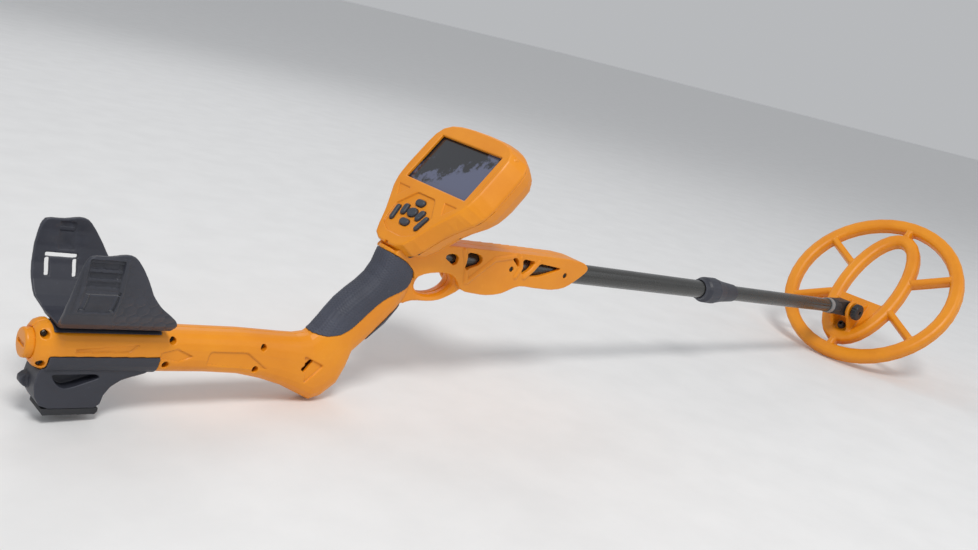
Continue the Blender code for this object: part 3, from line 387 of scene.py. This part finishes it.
def dimple_grip(ob, pitch=2.5 * MM, depth=0.32 * MM):
    """Small round dimples, set in a hexagonal pattern wrapped round the handle."""
    co, no = coords(ob)
    run, off = along_handle(co)
    around = np.arctan2(off, co[:, 1]) * HANDLE_RADIUS
    d = hex_distance(run, around, pitch) / (pitch * 0.46)
    bowl = np.clip(1.0 - d * d, 0.0, 1.0)
    move(ob, co - no * (bowl * depth)[:, None])


LADDER_X, LADDER_REACH, LADDER_FADE = -0.637, 0.017, 0.006
CUFF_TOP, TOP_FADE = 0.128, 0.02


def dimple_cuff(ob, pitch=9.5 * MM, depth=0.55 * MM):
    """Shallow hexagonal pads over the outer faces of the cuff, fading at its borders."""
    co, no = coords(ob)
    x, z = co[:, 0], co[:, 2]
    d = hex_distance(x, z, pitch) / (pitch * 0.5)
    pad = np.clip(1.0 - d ** 4, 0.0, 1.0)
    outer = np.clip((no[:, 1] * np.sign(co[:, 1]) - 0.25) * 4.0, 0.0, 1.0)
    ladder = np.clip((np.abs(x - LADDER_X) - LADDER_REACH) / LADDER_FADE, 0.0, 1.0)
    low = np.clip((CUFF_TOP - z) / TOP_FADE, 0.0, 1.0)
    fade = outer * ladder * low
    move(ob, co - no * ((1.0 - pad) * depth * fade)[:, None])


# ---- shallow sculpting on the side faces, in the level layout (mm) -------------
REST_PITCH = math.radians(3.03162)          # the whole object is nose-down by this
LEVEL_X, LEVEL_Z = -108.70337, -6.5216      # where the level layout's origin comes to rest
RELIEFS = ([(-528, 40), (-480, 44), (-487, 37.5), (-528, 37)],
           [(-463, 33), (-461, 38), (-449, 41.5), (-434, 35), (-446, 30)],
           [(-421, 36), (-419, 39.5), (-386, 39), (-364, 24), (-400, 26), (-421, 28)])
RIDGES = ([(-180.4, 146.0), (-172.9, 132.1), (-168.7, 115.0)],
          [(-112.0, 145.0), (-122.0, 143.0), (-138.1, 139.8), (-154.7, 125.7), (-167.1, 114.7)],
          [(-103.0, 143.5), (-99.5, 134.0), (-104.0, 124.0)],
          [(-76.0, 141.5), (-82.0, 133.0), (-91.0, 124.5)])
LADDER_FRAME = [(-547.0, 119.8), (-516.0, 120.6), (-514.5, 75.0), (-546.0, 75.0)]
LADDER_BED = [(-543.5, 117.5), (-519.5, 118.0), (-518.5, 77.0), (-542.5, 77.0)]
LADDER_ROWS = (100.2, 106.8, 113.4)
STRAP_PANEL = [(-533.0, 119.0), (-521.0, 119.0), (-520.0, 97.5), (-532.0, 97.5)]


def level(co):
    """Vertices in the layout where the arm tube is level, as X and Z in mm."""
    x = co[:, 0] / MM - LEVEL_X
    z = co[:, 2] / MM - LEVEL_Z
    cos, sin = math.cos(REST_PITCH), math.sin(REST_PITCH)
    return cos * x - sin * z, sin * x + cos * z


def inside(x, z, poly):
    """Which points lie inside a closed outline."""
    odd = np.zeros(x.shape, bool)
    for (ax, az), (bx, bz) in zip(poly, poly[1:] + poly[:1]):
        if az != bz:
            hit = (az > z) != (bz > z)
            odd ^= hit & (x < (bx - ax) * (z - az) / (bz - az) + ax)
    return odd


def line_distance(x, z, line):
    """Distance of points to a line of several stretches."""
    best = np.full(x.shape, 1e9)
    for (ax, az), (bx, bz) in zip(line[:-1], line[1:]):
        dx, dz = bx - ax, bz - az
        t = np.clip(((x - ax) * dx + (z - az) * dz) / (dx * dx + dz * dz), 0.0, 1.0)
        best = np.minimum(best, np.hypot(x - ax - t * dx, z - az - t * dz))
    return best


SIDE_FACE = 12.0 * MM       # the side faces lie further than this from the middle plane


def sculpt_body(ob, depth=0.6 * MM, height=1.5 * MM, width=2.4):
    """Press the side reliefs a little deeper and raise the ridges by the windows."""
    co, no = coords(ob)
    x, z = level(co)
    out = np.clip(no[:, 1] * np.sign(co[:, 1]) * 4.0, 0.0, 1.0)
    press = np.zeros(len(co))
    for poly in RELIEFS:
        press = np.maximum(press, inside(x, z, poly) * 1.0)
    lift = np.zeros(len(co))
    for line in RIDGES:
        d = line_distance(x, z, line) / width
        lift = np.maximum(lift, np.exp(-d ** 4))
    clear = np.abs(co[:, 1]) > SIDE_FACE
    side = np.sign(co[:, 1]) * out * clear
    co[:, 1] += side * (lift * height - press * depth)
    move(ob, co)


PANEL_DEPTH, FRAME_HEIGHT, ROW_DEPTH = 0.6 * MM, 0.7 * MM, 1.0 * MM
ROW_HALF = 2.2


def sculpt_cuff(ob):
    """Dimples, a sunk panel inside each wall and a framed ladder outside."""
    dimple_cuff(ob)
    co, no = coords(ob)
    x, z = level(co)
    side = np.sign(co[:, 1])
    facing = no[:, 1] * side
    panel = (facing < -0.6) & inside(x, z, STRAP_PANEL)
    co[panel, 1] += side[panel] * PANEL_DEPTH
    bed = inside(x, z, LADDER_BED)
    frame_edge = (facing > 0.3) & inside(x, z, LADDER_FRAME) & ~bed
    co[frame_edge, 1] += side[frame_edge] * FRAME_HEIGHT
    for height in LADDER_ROWS:
        row = (facing > 0.3) & bed & (np.abs(z - height) < ROW_HALF)
        co[row, 1] -= side[row] * ROW_DEPTH
    move(ob, co)


# voxel in mm, rounds of smoothing, share of faces kept
for node in ("body_right", "body_left"):
    refined(node, 0.70, 2, 0.40, sculpt_body)
lens_lo, lens_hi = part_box("screen_lens")
lens = (lens_lo + lens_hi) / 2
PILOT_X, PILOT_Y, PILOT_Z = 0.02093, 0.0535, 0.02424      # from the lens centre
PLUG_RADIUS = 2.4 * MM
plugs = [((lens.x + PILOT_X, side * PILOT_Y, lens.z + PILOT_Z), PLUG_RADIUS) for side in (-1, 1)]
refined("head_front", 0.55, 2, 0.40, plugs=plugs)
refined("head_rear", 0.55, 2, 0.40)
refined("coil_top", 0.85, 8, 0.30)
refined("coil_base", 0.85, 5, 0.35)
refined("arm_cuff", 0.60, 4, 0.5, sculpt_cuff)
refined("stand", 0.60, 5, 0.35)
for node in ("grip_pad", "finger_pad_upper", "finger_pad_lower"):
    refined(node, 0.42, 3, 0.6, dimple_grip)
for node in ("cuff_rail", "end_fitting", "twist_collar", "coil_knob", "battery_lid",
             "cable_gland", "foot_pad"):
    refined(node, 0.35, 4, 0.35)

TURNED = ("upper_tube", "lower_tube", "tube_ferrule", "lock_collet", "coil_bolt",
          "washer_left", "washer_right")
for node in sorted(NODES):
    if node.startswith("button_"):
        refined(node, 0.22, 2, 0.4)
    elif "screw_" in node:
        refined(node, 0.16, 2, 0.5)
    elif node in TURNED:
        NODES[node].data.shade_smooth()
        bevel = NODES[node].modifiers.new("bevel", "BEVEL")
        bevel.width = 0.3 * MM
        bevel.segments = 2
        bevel.limit_method = "ANGLE"
        bevel.angle_limit = math.radians(50.0)
        bevel.harden_normals = True

# ---- floor and light -----------------------------------------------------------
FLOOR = moulded("floor_paint", srgb(236, 236, 236), srgb(232, 232, 232), srgb(240, 240, 240),
                0.85, edge_wear_and_highlight=0.0, bump=0.02)
FLOOR_HALF = 30.0
FLOOR_DROP = 0.5 * MM
corners = [(sx * FLOOR_HALF, sy * FLOOR_HALF, 0.0) for sx, sy in ((-1, -1), (1, -1), (1, 1), (-1, 1))]
floor_mesh = bpy.data.meshes.new("floor")
floor_mesh.from_pydata(corners, [], [(0, 1, 2, 3)])
floor = bpy.data.objects.new("floor", floor_mesh)
bpy.context.scene.collection.objects.link(floor)
floor.location.z = -FLOOR_DROP
paint(floor, FLOOR)

world = bpy.data.worlds.new("studio")
bpy.context.scene.world = world
world.use_nodes = True
sky = world.node_tree.nodes["Background"]
sky.inputs["Color"].default_value = (0.95, 0.97, 1.0, 1.0)
sky.inputs["Strength"].default_value = 0.50


def area(name, pos, target, size, watts, color=(1.0, 1.0, 1.0)):
    """Round soft light at pos, aimed at target."""
    data = bpy.data.lights.new(name, "AREA")
    data.shape = "DISK"
    data.size = size
    data.energy = watts
    data.color = color
    ob = bpy.data.objects.new(name, data)
    ob.location = pos
    ob.rotation_euler = (Vector(target) - Vector(pos)).to_track_quat("-Z", "Y").to_euler()
    bpy.context.scene.collection.objects.link(ob)


area("key", (-1.2, -1.4, 2.6), (-0.1, 0.0, 0.1), 0.9, 46.0, (1.0, 0.985, 0.96))
area("fill", (1.8, -1.9, 1.5), (0.1, 0.0, 0.1), 1.8, 8.0, (0.95, 0.97, 1.0))
area("rim", (0.4, 2.2, 1.9), (0.0, 0.0, 0.1), 1.6, 9.0)
